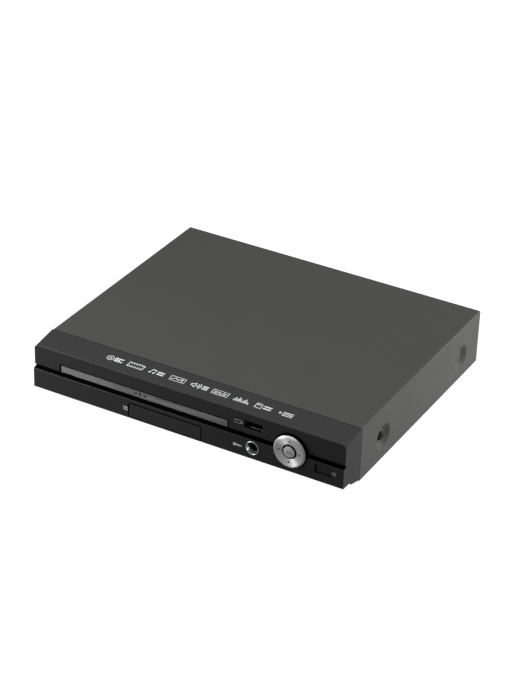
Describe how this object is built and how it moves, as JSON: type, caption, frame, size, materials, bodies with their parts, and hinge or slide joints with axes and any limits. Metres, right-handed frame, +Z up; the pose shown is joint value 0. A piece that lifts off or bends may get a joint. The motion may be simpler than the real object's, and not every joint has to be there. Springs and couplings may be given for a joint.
{
  "type": "disc player",
  "caption": "Compact disc player with a motor-driven front tray, a four-way dial, a jack and a data port, in a folded steel case.",
  "frame": {"origin": "middle of the bounding box on the plane the feet stand on", "axes": "+X to the right seen from the front, +Y to the back, +Z up"},
  "size_m": [0.225, 0.2032, 0.042],
  "materials": {
    "cover_paint": "satin black powder coat",
    "bezel_plastic": "fine moulded texture, black",
    "window_plastic": "gloss black smoked plastic",
    "dial_silver": "silver painted plastic, satin",
    "lip_grey": "brushed grey",
    "black_plastic": "moulded black",
    "tray_plastic": "fine moulded texture, dark",
    "frame_plastic": "glass filled, dark grey",
    "acetal": "natural acetal",
    "white_plastic": "white moulded",
    "zinc_sheet": "zinc plated sheet",
    "chrome": "bright plated",
    "steel": "ground steel",
    "screw_black": "black zinc",
    "screw_steel": "zinc plated",
    "rubber": "matt black",
    "circuit_board": "green solder mask",
    "power_laminate": "phenolic laminate",
    "chip_black": "moulded epoxy",
    "lens_glass": "coated lens",
    "cast_alloy": "die cast",
    "transformer_tape": "yellow tape and ferrite",
    "capacitor_sleeve": "blue-black sleeve",
    "aluminium": "extruded",
    "brass": "nickel over brass",
    "jack_colours": "yellow, white, red and orange inserts",
    "ribbon": "flat cable",
    "wire_red": "insulated wire"
  },
  "bodies": {
    "chassis": {"top_cover": "cover_paint", "chassis_pan": "zinc_sheet", "feet": "rubber", "side_screws": "screw_black", "rear_screws": "screw_black", "front_bezel": "bezel_plastic", "display_window": "window_plastic", "display_module": "white_plastic", "ir_receiver": "chip_black", "switch_carrier": "white_plastic", "tact_switches": "chip_black", "front_board": "circuit_board", "mic_jack_sleeve": "chrome", "mic_jack_body": "black_plastic", "usb_shell": "steel", "usb_tongue": "black_plastic", "front_ribbon": "ribbon", "loader_frame": "frame_plastic", "loader_screws": "screw_steel", "loading_motor": "steel", "drive_belt": "rubber", "clamp_bridge": "zinc_sheet", "main_board": "circuit_board", "main_chips": "chip_black", "board_screws": "screw_steel", "power_board": "power_laminate", "transformer": "transformer_tape", "capacitors": "capacitor_sleeve", "heat_sink": "aluminium", "mains_inlet": "black_plastic", "inlet_pins": "brass", "av_board": "circuit_board", "rca_block": "black_plastic", "rca_barrels": "chrome", "rca_inserts": "jack_colours", "av_ribbon": "ribbon", "power_harness": "wire_red"},
    "tray": {"disc_tray": "tray_plastic", "tray_lip": "lip_grey"},
    "drive_gear": {"drive_gear": "acetal"},
    "pulley_gear": {"pulley_gear": "acetal"},
    "motor_pulley": {"motor_pulley": "acetal"},
    "cam_slide": {"cam_slide": "acetal"},
    "cradle": {"cradle_frame": "acetal", "dampers": "rubber", "traverse_plate": "zinc_sheet", "spindle_motor": "steel", "guide_rods": "steel", "sled_motor": "steel"},
    "turntable": {"turntable": "white_plastic", "disc_grip": "rubber"},
    "lead_screw": {"lead_screw": "steel"},
    "sled": {"pickup_sled": "cast_alloy", "objective_lens": "lens_glass"},
    "clamper": {"clamper": "white_plastic"},
    "rocker": {"rocker_ring": "black_plastic"},
    "dial": {"dial_ring": "dial_silver"},
    "play_button": {"play_button": "dial_silver"},
    "power_button": {"power_button": "black_plastic"}
  },
  "joints": [
    {"name": "tray_slide", "type": "slide", "parent": "chassis", "child": "tray", "axis": [0, -1, 0], "range_m": [0, 0.128]},
    {"name": "drive_gear_turn", "type": "hinge", "parent": "chassis", "child": "drive_gear", "pos_m": [-0.0805, -0.078, 0.026], "axis": [0, 0, 1], "continuous": true},
    {"name": "pulley_gear_turn", "type": "hinge", "parent": "chassis", "child": "pulley_gear", "pos_m": [-0.07657, -0.06332, 0.026], "axis": [0, 0, 1], "continuous": true},
    {"name": "motor_pulley_turn", "type": "hinge", "parent": "chassis", "child": "motor_pulley", "pos_m": [-0.08153, -0.03515, 0.026], "axis": [0, 0, 1], "continuous": true},
    {"name": "cam_slide_move", "type": "slide", "parent": "chassis", "child": "cam_slide", "axis": [1, 0, 0], "range_m": [0, 0.016]},
    {"name": "cradle_tilt", "type": "hinge", "parent": "chassis", "child": "cradle", "pos_m": [-0.031, 0.044, 0.0175], "axis": [1, 0, 0], "range_deg": [0, 4.91]},
    {"name": "disc_spin", "type": "hinge", "parent": "cradle", "child": "turntable", "pos_m": [-0.031, -0.0335, 0.0304], "axis": [0, 0, 1], "continuous": true},
    {"name": "clamper_spin", "type": "hinge", "parent": "chassis", "child": "clamper", "pos_m": [-0.031, -0.0335, 0.0319], "axis": [0, 0, 1], "continuous": true},
    {"name": "sled_move", "type": "slide", "parent": "cradle", "child": "sled", "axis": [0, 1, 0], "range_m": [0, 0.034]},
    {"name": "lead_screw_turn", "type": "hinge", "parent": "cradle", "child": "lead_screw", "pos_m": [-0.0574, -0.0335, 0.0166], "axis": [0, 1, 0], "continuous": true},
    {"name": "dial_rock_up_down", "type": "hinge", "parent": "chassis", "child": "rocker", "pos_m": [0.0753, -0.0903, 0.02495], "axis": [1, 0, 0], "range_deg": [-2.5, 2.5], "stiffness_Nm_per_rad": 3},
    {"name": "dial_rock_left_right", "type": "hinge", "parent": "rocker", "child": "dial", "pos_m": [0.0753, -0.0903, 0.02495], "axis": [0, 0, 1], "range_deg": [-2.5, 2.5], "stiffness_Nm_per_rad": 3},
    {"name": "play_press", "type": "slide", "parent": "chassis", "child": "play_button", "axis": [0, 1, 0], "range_m": [0, 0.0005], "stiffness_N_per_m": 2000},
    {"name": "power_press", "type": "slide", "parent": "chassis", "child": "power_button", "axis": [0, 1, 0], "range_m": [0, 0.0005], "stiffness_N_per_m": 2000}
  ],
  "couplings": [
    {"joint": "drive_gear_turn", "follows": "tray_slide", "rad_per_m": 142.86},
    {"joint": "pulley_gear_turn", "follows": "tray_slide", "rad_per_m": -309.52},
    {"joint": "motor_pulley_turn", "follows": "tray_slide", "rad_per_m": -773.81},
    {"joint": "cradle_tilt", "follows": "cam_slide_move", "rad_per_m": 5.329},
    {"joint": "clamper_spin", "follows": "disc_spin", "ratio": 1},
    {"joint": "lead_screw_turn", "follows": "sled_move", "rad_per_m": 2094.4}
  ]
}
